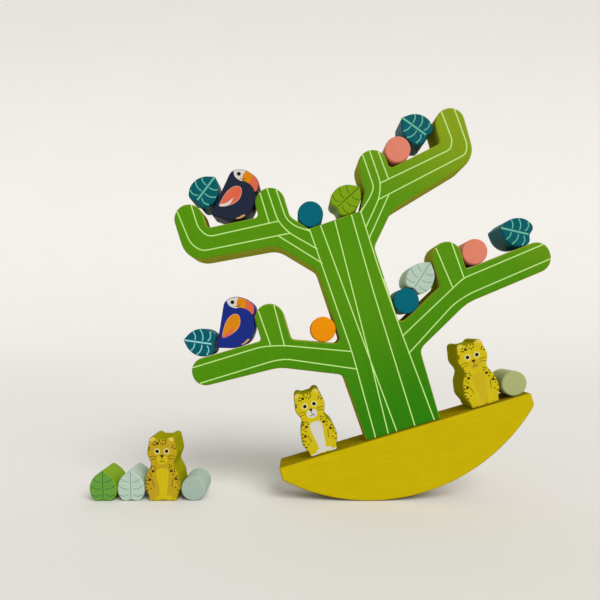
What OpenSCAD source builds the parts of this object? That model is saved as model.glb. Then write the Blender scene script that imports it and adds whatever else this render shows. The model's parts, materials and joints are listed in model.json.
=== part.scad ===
// Balance tree game: a wooden tree on a rocker, with the leopards, toucans, leaves and pegs
// that players balance on its branches.
// Millimetres, +Z up. The painted faces look toward -Y, and the rocker touches the table at the origin.
// The loaded tree is heavier on its left, so it comes to rest leaning that way.

/* [Rocker base] */
// Length of the rocker
base_l = 208; // [200:1:224]
// Height of the rocker's flat top above the table
base_h = 53; // [50:1:60]
// Thickness of the rocker, front to back
base_t = 30; // [28:1:36]
// Radius of the rocker's round sole
sole_r = 149; // [146:0.5:165]
// How far the loaded tree leans to the left at rest, in degrees
lean = 16.6; // [0:0.1:20]
// Rounding of the rocker's long edges
base_edge = 1.5; // [1:0.1:2.5]
// Rounding of the rocker's lower ends
end_r = 4; // [2:0.5:6]

/* [Trunk] */
// Thickness of the tree and of every loose piece, front to back
tree_t = 26; // [22:1:28]
// Width of the trunk at its foot
foot_w = 61; // [58:1:64]
// Width of the trunk between its branches
waist_w = 48; // [46:1:50]
// How far the upper trunk stands left of the middle
waist_shift = 4.5; // [3:0.5:6]
// Height of the trunk's top above the base
trunk_h = 174; // [171:1:177]

/* [Branches] */
// Reach of both lower branches from the middle
low_reach = 148; // [144:1:154]
// Height above the base where the lower branches leave the trunk
low_fork = 57; // [54:1:60]
// Height of the lower branches near their tips
low_arm = 22; // [20:0.5:24]
// Height of the lower left shelf above the base
low_left_z = 101.5; // [99:0.5:104]
// Height of the lower right shelf above the base, at its knob
low_right_z = 107.5; // [105:0.5:110]
// Reach of the upper left branch from the middle
up_left_reach = 125; // [122:1:130]
// Reach of the upper right branch from the middle
up_right_reach = 112; // [109:1:117]
// Height of the upper left channel above the base
up_left_z = 195.5; // [192:0.5:199]
// Height of the upper right channel above the base
up_right_z = 202; // [199:0.5:206]
// Width of the knobs and of the upturned tips
knob_w = 23; // [21:0.5:24]

/* [Loose pieces] */
// Diameter of the pegs
peg_d = 20; // [18:0.5:21]
// Length of the leaves from stem to tip
leaf_l = 25; // [23:0.5:26]
// Height of the leopards
leopard_h = 55; // [50:1:58]
// Height of the toucans
toucan_h = 38.2; // [36:0.2:40]
// Rounding of the edges of the loose pieces
wood_edge = 1.3; // [0.8:0.1:1.6]

/* [Fits] */
// Gap left between a piece and what it rests on
seat_gap = 0.2; // [0.1:0.05:0.4]
// Diameter of the two dowels in the trunk's foot
dowel_d = 10; // [8:1:12]
// Length of the dowels
dowel_l = 40; // [32:2:44]
// Radial clearance of the dowels in the base
dowel_fit = 0.05; // [0.02:0.01:0.1]

/* [Hidden] */

// Largest turn between two points of an arc, in degrees
arc_step = 12;
// Steps in a rounded edge
edge_steps = 2;
$fn = 96;

peg_r = peg_d / 2;
knob_r = knob_w / 2 - 0.05;
dowel_x = foot_w / 4;

// Outlines lie in the X-Z plane as [x, z, corner radius] and run anticlockwise as seen from the front.

function unit(v) = v / norm(v);
function turned(p, a) = [p.x * cos(a) - p.y * sin(a), p.x * sin(a) + p.y * cos(a)];
function closed(line) = concat(line, [line[0]]);

// The points of one rounded corner c between its neighbours a and b
function corner(a, c, b) =
  let (p = [c.x, c.y], u = unit([a.x, a.y] - p), w = unit([b.x, b.y] - p), half = acos(u * w) / 2)
  c.z == 0 || half > 89 ? [p] :
  let (middle = p + unit(u + w) * c.z / sin(half),
       from = p + u * c.z / tan(half) - middle,
       turn = (cross(u, w) > 0 ? -1 : 1) * (180 - 2 * half),
       n = max(1, ceil(abs(turn) / arc_step)))
  [for (i = [0:n]) middle + turned(from, turn * i / n)];

// A closed outline and an open path with their corners rounded
function rounded(v) =
  let (n = len(v))
  [for (i = [0:n - 1]) each corner(v[(i + n - 1) % n], v[i], v[(i + 1) % n])];
function path(v) =
  let (n = len(v))
  concat([[v[0].x, v[0].y]], [for (i = [1:n - 2]) each corner(v[i - 1], v[i], v[i + 1])],
         [[v[n - 1].x, v[n - 1].y]]);

// A mirror-symmetric outline from its right half, listed upward
function both_sides(v) =
  let (n = len(v))
  concat(v, [for (i = [n - 1:-1:0]) if (v[i].x > 0) [-v[i].x, v[i].y, v[i].z]]);

// An outline moved inward by d
function inset(v, d) =
  let (n = len(v))
  [for (i = [0:n - 1])
    let (a = unit(v[i] - v[(i + n - 1) % n]), b = unit(v[(i + 1) % n] - v[i]),
         na = [-a.y, a.x], nb = [-b.y, b.x])
    v[i] + (na + nb) * d / (1 + na * nb)];

// Highest and lowest points of a line at x
function above(line, x) =
  max([-1e6, for (i = [0:len(line) - 2])
    let (a = line[i], b = line[i + 1])
    if (a.x != b.x && (a.x - x) * (b.x - x) <= 0) a.y + (b.y - a.y) * (x - a.x) / (b.x - a.x)]);
function below(line, x) =
  min([1e6, for (i = [0:len(line) - 2])
    let (a = line[i], b = line[i + 1])
    if (a.x != b.x && (a.x - x) * (b.x - x) <= 0) a.y + (b.y - a.y) * (x - a.x) / (b.x - a.x)]);

// A piece turned and let down at x until it meets one of the beds: its place [x, z, turn]
function seat(shape, turn, x, beds, gap = seat_gap) =
  let (s = [for (p = shape) turned(p, turn)], loop = closed(s),
       heights = [for (bed = beds) each concat(
         [for (p = s) above(bed, x + p.x) - p.y],
         [for (q = bed) let (b = below(loop, q.x - x)) if (b < 1e5) q.y - b])])
  [x, max(heights) + gap, turn];

// The outline of a shape at its place
function placed(shape, at) = [for (p = shape) turned(p, at.z) + [at.x, at.y]];

// Tree: stretches of its outline, with heights above the base

waist_left = -waist_shift - waist_w / 2;
waist_right = -waist_shift + waist_w / 2;
up_fork = trunk_h - 31;

low_left_knob = -76;
low_right_knob = 70.5;
up_left_knob = -49;
up_right_knob = 35;

low_right_under = [
  [foot_w / 2, low_fork + 1, 8],
  [76, low_right_z - 25.5, 30],
  [low_reach, low_right_z + 5.5 - low_arm - 1.5, low_arm / 2],
  [low_reach, low_right_z + 5.5, low_arm / 2]];
low_right_shelf = [
  [low_right_knob + knob_w / 2, low_right_z, 2.5],
  [low_right_knob + knob_w / 2, low_right_z + 25.5, knob_r],
  [low_right_knob - knob_w / 2, low_right_z + 25.5, knob_r],
  [low_right_knob - knob_w / 2, low_right_z - 7, 3],
  [waist_right + 1, low_fork + 24, 4]];
up_right_under = [
  [waist_right - 1, up_fork + 2, 8],
  [39.5, trunk_h - 6, 18],
  [up_right_reach, up_right_z - 16, 16]];
up_right_shelf = [
  [up_right_reach, up_right_z + 27.5, knob_r],
  [up_right_reach - knob_w, up_right_z + 27.5, knob_r],
  [up_right_reach - knob_w, up_right_z + 3.8, 3],
  [up_right_knob + knob_w / 2, up_right_z - 3, 3],
  [up_right_knob + knob_w / 2, up_right_z + 15, knob_r],
  [up_right_knob - knob_w / 2, up_right_z + 15, knob_r]];
trunk_top = [
  [up_right_knob - knob_w / 2, up_right_z - 14.5, 8],
  [waist_right - 3.5, trunk_h + 1, 2],
  [waist_left + 2, trunk_h - 0.5, 2],
  [up_left_knob + knob_w / 2, up_left_z - 8.5, 8]];
up_left_shelf = [
  [up_left_knob + knob_w / 2, up_left_z + 17.5, knob_r],
  [up_left_knob - knob_w / 2, up_left_z + 17.5, knob_r],
  [up_left_knob - knob_w / 2 - 0.5, up_left_z - 2, 3],
  [knob_w - up_left_reach, up_left_z + 2, 3],
  [knob_w - up_left_reach, up_left_z + 24, knob_r],
  [-up_left_reach, up_left_z + 24, knob_r]];
up_left_under = [
  [-up_left_reach, up_left_z - 19, 17],
  [-54, trunk_h - 6, 18],
  [waist_left - 1, up_fork - 2, 8]];
low_left_shelf = [
  [waist_left + 1, low_fork + 23, 4],
  [low_left_knob + knob_w / 2, low_left_z - 6.5, 4],
  [low_left_knob + knob_w / 2, low_left_z + 26, knob_r],
  [low_left_knob - knob_w / 2, low_left_z + 26, knob_r],
  [low_left_knob - knob_w / 2, low_left_z - 0.5, 2.5],
  [-low_reach, low_left_z + 0.5, low_arm / 2 - 0.2]];
low_left_under = [
  [-low_reach, low_left_z + 0.5 - low_arm, low_arm / 2 - 0.2],
  [-80, low_left_z - 25, 30],
  [-foot_w / 2 - 2.5, low_fork - 1, 8]];

tree_outline = rounded(concat(
  [[-foot_w / 2, 0, 0], [foot_w / 2, 0, 0]],
  low_right_under, low_right_shelf, up_right_under, up_right_shelf, trunk_top,
  up_left_shelf, up_left_under, low_left_shelf, low_left_under));

low_right_bed = path(concat([low_right_under[3]], low_right_shelf, [[waist_right + 1, trunk_h]]));
up_right_bed = path(up_right_shelf);
trunk_bed = path(concat([up_right_shelf[5]], trunk_top, [up_left_shelf[0]]));
up_left_bed = path(up_left_shelf);
low_left_bed = path(concat([[waist_left + 1, trunk_h]], low_left_shelf, [low_left_under[0]]));
base_bed = [[-base_l / 2, 0], [base_l / 2, 0]];
table_bed = [[-2 * base_l, 0], [2 * base_l, 0]];

// Loose pieces, each about its own middle or foot

peg = [for (a = [0:arc_step / 2:359]) turned([peg_r, 0], a)];

leaf = let (s = leaf_l / 26) rounded([for (v = [
  [15.2, 0, 2.5], [8, 9.9, 9], [-3.5, 12.2, 9], [-12.5, 6.2, 3.5], [-9.8, 0, 3],
  [-12.5, -6.2, 3.5], [-3.5, -12.2, 9], [8, -9.9, 9]]) v * s]);

toucan = let (s = toucan_h / 39) rounded([for (v = [
  [-19.8, 4, 1.5], [-5, -0.6, 14], [9.5, 0, 12], [16.8, 11, 11], [15.6, 20.4, 1.5],
  [20.2, 23, 3], [19.8, 32, 9], [8, 39.2, 9], [-2, 39, 6]]) v * s]);

leopard = let (s = leopard_h / 55) rounded([for (v = both_sides([
  [11.6, 0, 2.2], [11.5, 6, 4], [14.7, 10, 4.5], [13.4, 21, 9], [8.7, 29.8, 2.5],
  [12, 35.5, 7], [11.2, 47.5, 12], [9.7, 56, 3.2], [3.6, 52.5, 2.5]])) v * s]);

// Where each piece rests; a piece is let down on the branch and on the pieces below it

// Gap over a piece that is drawn out from below, and how far pieces stand from what they lean toward
draw_gap = 0.7;
navy_stand = 18.5;
blue_stand = 16.5;
leaf_behind = 29.5;
leaf_in_channel = 6.3;
leaf_over_peg = 14;
peg_on_trunk = 6.7;
leaf_on_trunk = 11.5;
leaf_by_knob = 12.6;
leaf_from_tip = 20;
leopard_left_inset = 38;
leopard_right_inset = 36;
table_stand = 62;

toucan_navy_at = seat(toucan, -16, up_left_knob - knob_w / 2 - navy_stand, [up_left_bed]);
leaf_up_left_at = seat(leaf, 35, knob_w - up_left_reach + leaf_in_channel,
  [up_left_bed, closed(placed(toucan, toucan_navy_at))], draw_gap);

peg_up_right_at = seat(peg, 0, up_right_knob + knob_w / 2 + peg_r + seat_gap, [up_right_bed]);
leaf_up_right_at = seat(leaf, 128, up_right_reach - knob_w - leaf_over_peg,
  [up_right_bed, closed(placed(peg, peg_up_right_at))], draw_gap);

peg_trunk_at = seat(peg, 0, waist_left + peg_on_trunk, [trunk_bed]);
leaf_trunk_at = seat(leaf, 25, waist_right - leaf_on_trunk, [trunk_bed]);

toucan_blue_at = seat(toucan, 0, low_left_knob - knob_w / 2 - blue_stand, [low_left_bed]);
leaf_low_left_at = seat(leaf, 155, toucan_blue_at.x - leaf_behind, [low_left_bed]);
peg_low_left_at = seat(peg, 0, waist_left + 0.5 - peg_r - seat_gap, [low_left_bed]);

peg_low_right_at = seat(peg, 0, waist_right + 1 + peg_r + seat_gap, [low_right_bed]);
leaf_low_right_at = seat(leaf, 41, low_right_knob - knob_w / 2 - leaf_by_knob,
  [low_right_bed, closed(placed(peg, peg_low_right_at))], draw_gap);
peg_low_tip_at = seat(peg, 0, low_right_knob + knob_w / 2 + peg_r + seat_gap, [low_right_bed]);
leaf_low_tip_at = seat(leaf, 150, low_reach - leaf_from_tip, [low_right_bed]);

leopard_left_at = seat(leopard, 0, leopard_left_inset - base_l / 2, [base_bed]);
leopard_right_at = seat(leopard, 0, base_l / 2 - leopard_right_inset, [base_bed]);
peg_base_at = seat(peg, 0, base_l / 2 - peg_r, [base_bed]);

leopard_half = max([for (p = leopard) p.x]);
leaf_half = max([for (p = leaf) p.y]);
leopard_loose_x = -base_l / 2 - table_stand;
mint_loose_x = leopard_loose_x - leopard_half - leaf_half - seat_gap;
green_loose_x = mint_loose_x - 2 * leaf_half - seat_gap;
peg_loose_x = leopard_loose_x + leopard_half + peg_r + seat_gap;
leopard_loose_at = seat(leopard, 0, leopard_loose_x, [table_bed], 0);
leaf_mint_loose_at = seat(leaf, 90, mint_loose_x, [table_bed], 0);
leaf_green_loose_at = seat(leaf, 90, green_loose_x, [table_bed], 0);
peg_loose_at = seat(peg, 0, peg_loose_x, [table_bed], 0);

// A slab of thickness t with rounded edges, standing on the outline's plane

module slab(outline, t, edge) {
  n = len(outline);
  steps = [for (i = [0:edge_steps]) i * 90 / edge_steps];
  front = [for (a = steps)
    let (ring = inset(outline, edge * (1 - sin(a))), y = edge * (1 - cos(a)) - t / 2)
    [for (p = ring) [p.x, y, p.y]]];
  back = [for (i = [edge_steps:-1:0]) [for (p = front[i]) [p.x, -p.y, p.z]]];
  rings = concat(front, back);
  last = len(rings) - 1;
  polyhedron(
    [for (ring = rings) each ring],
    concat(
      [[for (i = [n - 1:-1:0]) i]],
      [for (k = [0:last - 1]) for (i = [0:n - 1])
        let (j = (i + 1) % n)
        each [[k * n + i, k * n + j, (k + 1) * n + j], [k * n + i, (k + 1) * n + j, (k + 1) * n + i]]],
      [[for (i = [0:n - 1]) last * n + i]]));
}

// A sawn board of thickness t, standing on the outline's plane
module board(outline, t) {
  rotate([90, 0, 0]) translate([0, 0, -t / 2]) linear_extrude(t) polygon(outline);
}

// Whatever stands on the rocker leans with it, about the middle of the round sole
module leaning() {
  translate([0, 0, sole_r]) rotate([0, -lean, 0]) translate([0, 0, -sole_r]) children();
}

module on_rocker() {
  leaning() translate([0, 0, base_h]) children();
}

module piece(shape, at) {
  slab(placed(shape, at), tree_t, wood_edge);
}

// A turned peg with rounded rims
module peg_piece(at) {
  translate([at.x, 0, at.y]) rotate([90, 0, 0])
    rotate_extrude() rim_section(peg_r, tree_t, wood_edge);
}

// Half section of a disc of radius r and thickness t with rounded rims
module rim_section(r, t, edge) {
  translate([0, -t / 2 + edge]) square([r, t - 2 * edge]);
  translate([0, -t / 2]) square([r - edge, t]);
  for (side = [-1, 1])
    translate([r - edge, side * (t / 2 - edge)]) circle(edge);
}

module dowel(x) {
  translate([x, 0, base_h - dowel_l / 2]) cylinder(d = dowel_d, h = dowel_l);
}

module rocker_base() {
  color("gold") leaning() difference() {
    intersection() {
      translate([0, 0, sole_r]) rotate([90, 0, 0])
        rotate_extrude($fn = 240) rim_section(sole_r, base_t, base_edge);
      translate([-base_l / 2, 0, 0]) rotate([90, 0, 90]) linear_extrude(base_l) {
        translate([-base_t / 2, 0]) square([base_t, base_h - base_edge]);
        translate([-base_t / 2 + base_edge, 0]) square([base_t - 2 * base_edge, base_h]);
        for (side = [-1, 1])
          translate([side * (base_t / 2 - base_edge), base_h - base_edge]) circle(base_edge);
      }
    }
    for (side = [-1, 1])
      translate([side * dowel_x, 0, base_h - dowel_l / 2 - 1])
        cylinder(r = dowel_d / 2 + dowel_fit, h = dowel_l);
    for (side = [0, 1])
      mirror([side, 0, 0]) end_cut();
  }
}

// What is taken off below the rocker's end, so that its sole turns up into the end on a radius of end_r
module end_cut() {
  x = base_l / 2 - end_r;
  z = sole_r - sqrt(pow(sole_r - end_r, 2) - x * x);
  tangent_x = x * sole_r / (sole_r - end_r);
  rotate([90, 0, 0]) translate([0, 0, -base_t]) linear_extrude(2 * base_t) difference() {
    translate([tangent_x, z - 2 * end_r]) square([2 * end_r, 2 * end_r]);
    translate([x, z]) circle(end_r);
  }
}

module tree() {
  color("forestgreen") leaning() difference() {
    translate([0, 0, base_h]) board(tree_outline, tree_t);
    for (side = [-1, 1])
      translate([side * dowel_x, 0, base_h - 1]) cylinder(d = dowel_d, h = dowel_l / 2 + 1);
  }
}

module dowel_left() { color("burlywood") leaning() dowel(-dowel_x); }
module dowel_right() { color("burlywood") leaning() dowel(dowel_x); }

module leopard_left() { color("khaki") on_rocker() piece(leopard, leopard_left_at); }
module leopard_right() { color("khaki") on_rocker() piece(leopard, leopard_right_at); }
module leopard_loose() { color("khaki") piece(leopard, leopard_loose_at); }
module toucan_navy() { color("midnightblue") on_rocker() piece(toucan, toucan_navy_at); }
module toucan_blue() { color("mediumblue") on_rocker() piece(toucan, toucan_blue_at); }

module leaf_teal_upper_left() { color("teal") on_rocker() piece(leaf, leaf_up_left_at); }
module leaf_teal_upper_right() { color("teal") on_rocker() piece(leaf, leaf_up_right_at); }
module leaf_teal_lower_left() { color("teal") on_rocker() piece(leaf, leaf_low_left_at); }
module leaf_teal_lower_right() { color("teal") on_rocker() piece(leaf, leaf_low_tip_at); }
module leaf_green_trunk() { color("olivedrab") on_rocker() piece(leaf, leaf_trunk_at); }
module leaf_green_loose() { color("olivedrab") piece(leaf, leaf_green_loose_at); }
module leaf_mint_branch() { color("lightblue") on_rocker() piece(leaf, leaf_low_right_at); }
module leaf_mint_loose() { color("lightblue") piece(leaf, leaf_mint_loose_at); }

module peg_teal_trunk() { color("teal") on_rocker() peg_piece(peg_trunk_at); }
module peg_teal_branch() { color("teal") on_rocker() peg_piece(peg_low_right_at); }
module peg_pink_upper() { color("salmon") on_rocker() peg_piece(peg_up_right_at); }
module peg_pink_lower() { color("salmon") on_rocker() peg_piece(peg_low_tip_at); }
module peg_orange() { color("orange") on_rocker() peg_piece(peg_low_left_at); }
module peg_mint_base() { color("lightblue") on_rocker() peg_piece(peg_base_at); }
module peg_mint_loose() { color("lightblue") peg_piece(peg_loose_at); }

rocker_base();
tree();
dowel_left();
dowel_right();
leopard_left();
leopard_right();
leopard_loose();
toucan_navy();
toucan_blue();
leaf_teal_upper_left();
leaf_teal_upper_right();
leaf_teal_lower_left();
leaf_teal_lower_right();
leaf_green_trunk();
leaf_green_loose();
leaf_mint_branch();
leaf_mint_loose();
peg_teal_trunk();
peg_teal_branch();
peg_pink_upper();
peg_pink_lower();
peg_orange();
peg_mint_base();
peg_mint_loose();
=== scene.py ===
"""Paints, prints, light and camera for a wooden balance tree game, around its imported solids."""

import json
import math

import bmesh
import bpy
from bpy.props import FloatProperty, FloatVectorProperty, PointerProperty
from mathutils import Euler, Matrix, Vector
from mathutils.geometry import delaunay_2d_cdt


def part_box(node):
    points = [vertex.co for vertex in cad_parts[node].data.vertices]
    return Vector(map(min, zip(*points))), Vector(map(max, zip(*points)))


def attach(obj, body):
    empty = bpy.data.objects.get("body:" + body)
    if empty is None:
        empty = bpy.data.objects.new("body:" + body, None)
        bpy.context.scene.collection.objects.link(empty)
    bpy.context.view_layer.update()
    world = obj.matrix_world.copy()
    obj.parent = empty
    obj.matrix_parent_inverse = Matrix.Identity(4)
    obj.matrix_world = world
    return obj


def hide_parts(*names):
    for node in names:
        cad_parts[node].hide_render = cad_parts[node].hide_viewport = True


bl_info = {
    "name": "Balance tree game",
    "version": (1, 0, 0),
    "blender": (4, 5, 0),
    "location": "3D View > Sidebar > Balance Tree",
    "description": "Painted wooden tree on a rocker, with the pieces that players balance on it",
    "category": "Object",
}

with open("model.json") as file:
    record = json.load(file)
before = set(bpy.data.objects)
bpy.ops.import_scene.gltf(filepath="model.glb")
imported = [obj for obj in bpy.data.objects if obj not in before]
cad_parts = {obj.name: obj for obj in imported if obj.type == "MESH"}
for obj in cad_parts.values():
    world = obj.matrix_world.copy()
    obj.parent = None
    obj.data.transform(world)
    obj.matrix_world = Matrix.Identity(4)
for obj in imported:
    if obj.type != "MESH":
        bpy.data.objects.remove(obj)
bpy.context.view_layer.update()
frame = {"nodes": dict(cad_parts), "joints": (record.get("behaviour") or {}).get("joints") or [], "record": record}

# What the frame says: how far the tree leans, and the middle of the rocker's round sole
MM = 0.001
JOINTS = {joint["name"]: joint for joint in frame["joints"]}
TREE_UP = JOINTS["tree_lift"]["axis"]
LEAN = math.atan2(-TREE_UP[0], TREE_UP[2])
SOLE_CENTRE = Vector(JOINTS["rock"]["pos_m"])
BODY_OF = {node: body for body, nodes in frame["record"]["behaviour"]["bodies"].items() for node in nodes}

# Points closer than this are one point when a face is cut, and when a packed outline is read, in mm
WELD = 0.0005
PACKED_WELD = 0.01
# A turn of the outline above this is a crisp corner, in radians
CRISP = math.radians(40)
# Steps in a rounded edge
EDGE_STEPS = 5
# Turn of one step along a rounded corner, in radians
ARC_STEP = math.radians(5)
# Steps in the round end of a printed line
PEN_STEPS = 6
# Mesh attribute that holds each point's place in its piece's own frame
OWN_FRAME = "own_frame"
DOWELS = ("dowel_left", "dowel_right")


# Settings

def linear(code):
    """Linear red, green and blue of an sRGB hex colour."""
    parts = [int(code[i:i + 2], 16) / 255 for i in (1, 3, 5)]
    return tuple(c / 12.92 if c <= 0.04045 else ((c + 0.055) / 1.055) ** 2.4 for c in parts)


def colour(name, description, code):
    """A colour setting with a hex default."""
    return FloatVectorProperty(
        name=name, description=description, default=linear(code), size=3, min=0, max=1, subtype="COLOR")


def length(name, description, mm):
    """A length setting with a default in millimetres."""
    return FloatProperty(name=name, description=description, default=mm * MM, min=0, unit="LENGTH")


class PaintSettings(bpy.types.PropertyGroup):
    """Colours of the paints and printing inks"""
    rocker: colour("Rocker", "Yellow of the rocker", "#C2AC00")
    # The darker yellow on the rocker's top, sole and ends is painted shade
    rocker_side: colour("Rocker sides", "Dull yellow of the rocker's sawn sides", "#93800A")
    # The foot's deeper green is painted shade
    tree_foot_painted_shade: colour("Tree foot", "Green of the trunk's foot", "#2C7A08")
    tree_middle: colour("Tree", "Green of the trunk and the left branches", "#528C0A")
    # The upper right branch's yellow green is painted warm light
    tree_crown_painted_light: colour("Tree crown", "Yellow green of the upper right branch", "#869C12")
    # The olive of the tree's sides and undersides is painted warm bounce light from below
    tree_side: colour("Tree sides", "Olive green of the tree's sawn sides", "#979C2C")
    tree_line: colour("Tree lines", "Pale lines printed on the tree", "#BFE388")
    teal_leaf: colour("Teal leaf", "Teal of the leaves", "#035963")
    teal_vein: colour("Teal leaf veins", "Veins printed on the teal leaves", "#68B598")
    pale_vein: colour("Pale veins", "Veins printed on the teal leaf at the lower left", "#8EC6CC")
    olive_leaf: colour("Olive leaf", "Yellow green of the leaf on the trunk", "#7A9D0E")
    olive_vein: colour("Olive leaf veins", "Veins printed on the yellow green leaf", "#2F6212")
    green_leaf: colour("Green leaf", "Green of the loose leaf's face", "#64993C")
    green_vein: colour("Green leaf veins", "Veins printed on the loose green leaf", "#2E6B2C")
    mint_leaf: colour("Mint leaf", "Mint of the leaves", "#B2C6B6")
    mint_vein: colour("Mint leaf veins", "Veins printed on the mint leaves", "#7C9A90")
    teal_peg: colour("Teal peg", "Teal of the pegs", "#006171")
    pink_peg: colour("Pink peg", "Pink of the pegs", "#DA8068")
    orange_peg: colour("Orange peg", "Orange of the peg", "#E58C01")
    mint_peg: colour("Mint peg", "Mint of the loose peg", "#9FB3A6")
    # This peg is mint; its yellow tint is a painted reflection of the rocker beside it
    sage_peg: colour("Sage peg", "Yellowish mint of the peg at the rocker's end", "#A6AC74")
    navy: colour("Navy toucan", "Navy of one toucan", "#22283B")
    blue: colour("Blue toucan", "Blue of the other toucan", "#1A2B7D")
    wing_edge: colour("Wing edge", "Pale edge round the wings", "#CF9482")
    coral: colour("Coral", "Coral of a wing and of the beaks' tips", "#D76248")
    amber: colour("Amber", "Amber of a wing and of the beaks", "#D2830B")
    white: colour("White", "White of the toucans' faces and of a leopard's belly", "#D0CCC4")
    foot_tan: colour("Toucan foot", "Tan of the toucans' feet", "#C79A55")
    leopard: colour("Leopard", "Yellow of the leopards", "#C9B414")
    # The darker olive yellow of the leopards' sides is painted shade
    leopard_side: colour("Leopard sides", "Olive yellow of the leopards' sawn sides", "#95900C")
    tan: colour("Leopard tan", "Tan of one leopard's belly and muzzle", "#C2AA1C")
    ochre: colour("Leopard ochre", "Ochre of the loose leopard's face", "#B89A1C")
    peach: colour("Leopard ears", "Peach inside the leopards' ears", "#D4BC52")
    cream: colour("Leopard cream", "Cream round the leopards' eyes", "#DDD488")
    brown: colour("Leopard brown", "Brown of the leopards' spots, whiskers and arms", "#42360C")
    black: colour("Black", "Black of eyes and noses", "#1F1C16")
    beech: colour("Beech", "Bare wood of the dowels", "#D3AE7C")


class SizeSettings(bpy.types.PropertyGroup):
    """Sizes of rounded edges and printed lines"""
    wood_edge: length("Edge rounding", "Rounding of the edges of the tree and the loose pieces", 1.3)
    base_edge: length("Rocker rounding", "Rounding of the rocker's long edges", 1.5)
    base_end: length("Rocker end", "Rounding of the rocker's lower ends", 4)
    tree_line: length("Tree line", "Width of the lines printed on the tree", 0.9)
    dowel_edge: length("Dowel rounding", "Rounding of the dowels' ends", 1)
    dowel_fit: length("Dowel fit", "Radial clearance of the dowels in the rocker", 0.05)
    bore_room: length("Bore room", "Room below the dowels in the rocker's bores", 1)
    line_bend: length("Line bend", "Rounding of the bends in the tree's lines", 9)
    teal_vein: length("Teal leaf vein", "Width of the veins on the teal leaves", 0.85)
    teal_rib: length("Teal leaf midrib", "Width of the midrib on the teal leaves", 1.36)
    vein: length("Vein", "Width of the veins on the other leaves", 0.6)
    rib: length("Midrib", "Width of the midrib on the other leaves", 0.72)
    wing_edge: length("Wing edge", "Width of the pale edge round the wings", 0.5)
    fine_line: length("Fine line", "Width of whiskers and smiles", 0.45)
    # Beech has a finer grain; it is drawn this coarse so that it shows in the render
    grain_width: length("Grain width", "Width of the wood grain under the paint", 0.9)
    grain_length: length("Grain length", "Length of the wood grain under the paint", 26)
    cloud: length("Paint cloud", "Size of the uneven patches in the paint", 14)


class StageSettings(bpy.types.PropertyGroup):
    """Floor, light and camera"""
    floor: colour("Floor", "Pale floor and backdrop", "#E4E1DC")
    world: FloatProperty(name="World", description="Strength of the even light", default=0.48, min=0)
    key: FloatProperty(name="Key light", description="Strength of the broad light at the upper right",
                       default=2.15, min=0)
    spread: FloatProperty(name="Key spread", description="How broad the key light is, for soft shadows",
                          default=math.radians(40), min=0, subtype="ANGLE")
    lens: FloatProperty(name="Lens", description="Focal length in mm on a 36 mm sensor", default=29.26,
                        min=1)


# Flat shapes in mm, anticlockwise as seen from the front

def points(pairs):
    """Plane vectors of number pairs."""
    return [Vector(pair) for pair in pairs]


def ring_pairs(items):
    """Each item of a closed ring with the one that follows it."""
    return zip(items, items[1:] + items[:1])


def anticlockwise(shape):
    """The shape, reversed if it runs clockwise."""
    area = sum(a.cross(b) for a, b in ring_pairs(shape))
    return shape if area > 0 else shape[::-1]


def rounded(corners):
    """A closed outline with rounded corners; each corner is its place and its radius."""
    outline = []
    for before, here, after in zip(corners[-1:] + corners[:-1], corners, corners[1:] + corners[:1]):
        corner = Vector(here[:2])
        back = (Vector(before[:2]) - corner).normalized()
        onward = (Vector(after[:2]) - corner).normalized()
        half = back.angle(onward) / 2
        middle = corner + (back + onward).normalized() * here[2] / math.sin(half)
        start = corner + back * here[2] / math.tan(half) - middle
        turn = math.copysign(math.pi - 2 * half, onward.cross(back))
        steps = max(2, round(abs(turn) / ARC_STEP))
        outline += [middle + Matrix.Rotation(turn * i / steps, 2) @ start for i in range(steps + 1)]
    return outline


def inset(outline, depth):
    """A closed outline moved inward by depth; a negative depth moves it outward."""
    moved = []
    for before, here, after in zip(outline[-1:] + outline[:-1], outline, outline[1:] + outline[:1]):
        a = (here - before).normalized().orthogonal()
        b = (after - here).normalized().orthogonal()
        moved.append(here + (a + b) * depth / (1 + a.dot(b)))
    return moved


def arc(centre, radius, start, end, steps):
    """Points of an arc from one angle to another, in degrees."""
    angles = [math.radians(start + (end - start) * i / steps) for i in range(steps + 1)]
    return [Vector(centre) + Vector((math.cos(a), math.sin(a))) * radius for a in angles]


def circle(u, radius, sides):
    """Points of a circle about a place on the level axis."""
    return arc((u, 0), radius, 0, 360, sides)[:-1]


def oval(u, v, across, up, tilt=0):
    """An ellipse of two radii, tilted in degrees."""
    turn = Matrix.Rotation(math.radians(tilt), 2)
    return [Vector((u, v)) + turn @ Vector((p.x * across, p.y * up)) for p in circle(0, 1, 24)]


def spline(a, b, c, d, t):
    """A point between b and c on a smooth curve through a, b, c and d."""
    return b + 0.5 * t * ((c - a) + t * (2 * a - 5 * b + 4 * c - d + t * (3 * (b - c) + d - a)))


def curve(pairs, steps=6):
    """A smooth open line through points."""
    p = points(pairs)
    p = [2 * p[0] - p[1]] + p + [2 * p[-1] - p[-2]]
    line = [spline(*p[i:i + 4], k / steps) for i in range(len(p) - 3) for k in range(steps)]
    return line + [p[-2]]


def blob(pairs, steps=5):
    """A smooth closed shape through points."""
    p = points(pairs)
    n = len(p)
    return anticlockwise([
        spline(p[i - 1], p[i], p[(i + 1) % n], p[(i + 2) % n], k / steps)
        for i in range(n) for k in range(steps)])


def bent(pairs, radius, steps=6):
    """An open line with its corners rounded."""
    p = points(pairs)
    line = [p[0]]
    for before, here, after in zip(p, p[1:], p[2:]):
        reach = min(radius, 0.45 * (here - before).length, 0.45 * (after - here).length)
        start = here + (before - here).normalized() * reach
        end = here + (after - here).normalized() * reach
        for i in range(steps + 1):
            t = i / steps
            line.append(start.lerp(here, t).lerp(here.lerp(end, t), t))
    return line + [p[-1]]


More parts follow.
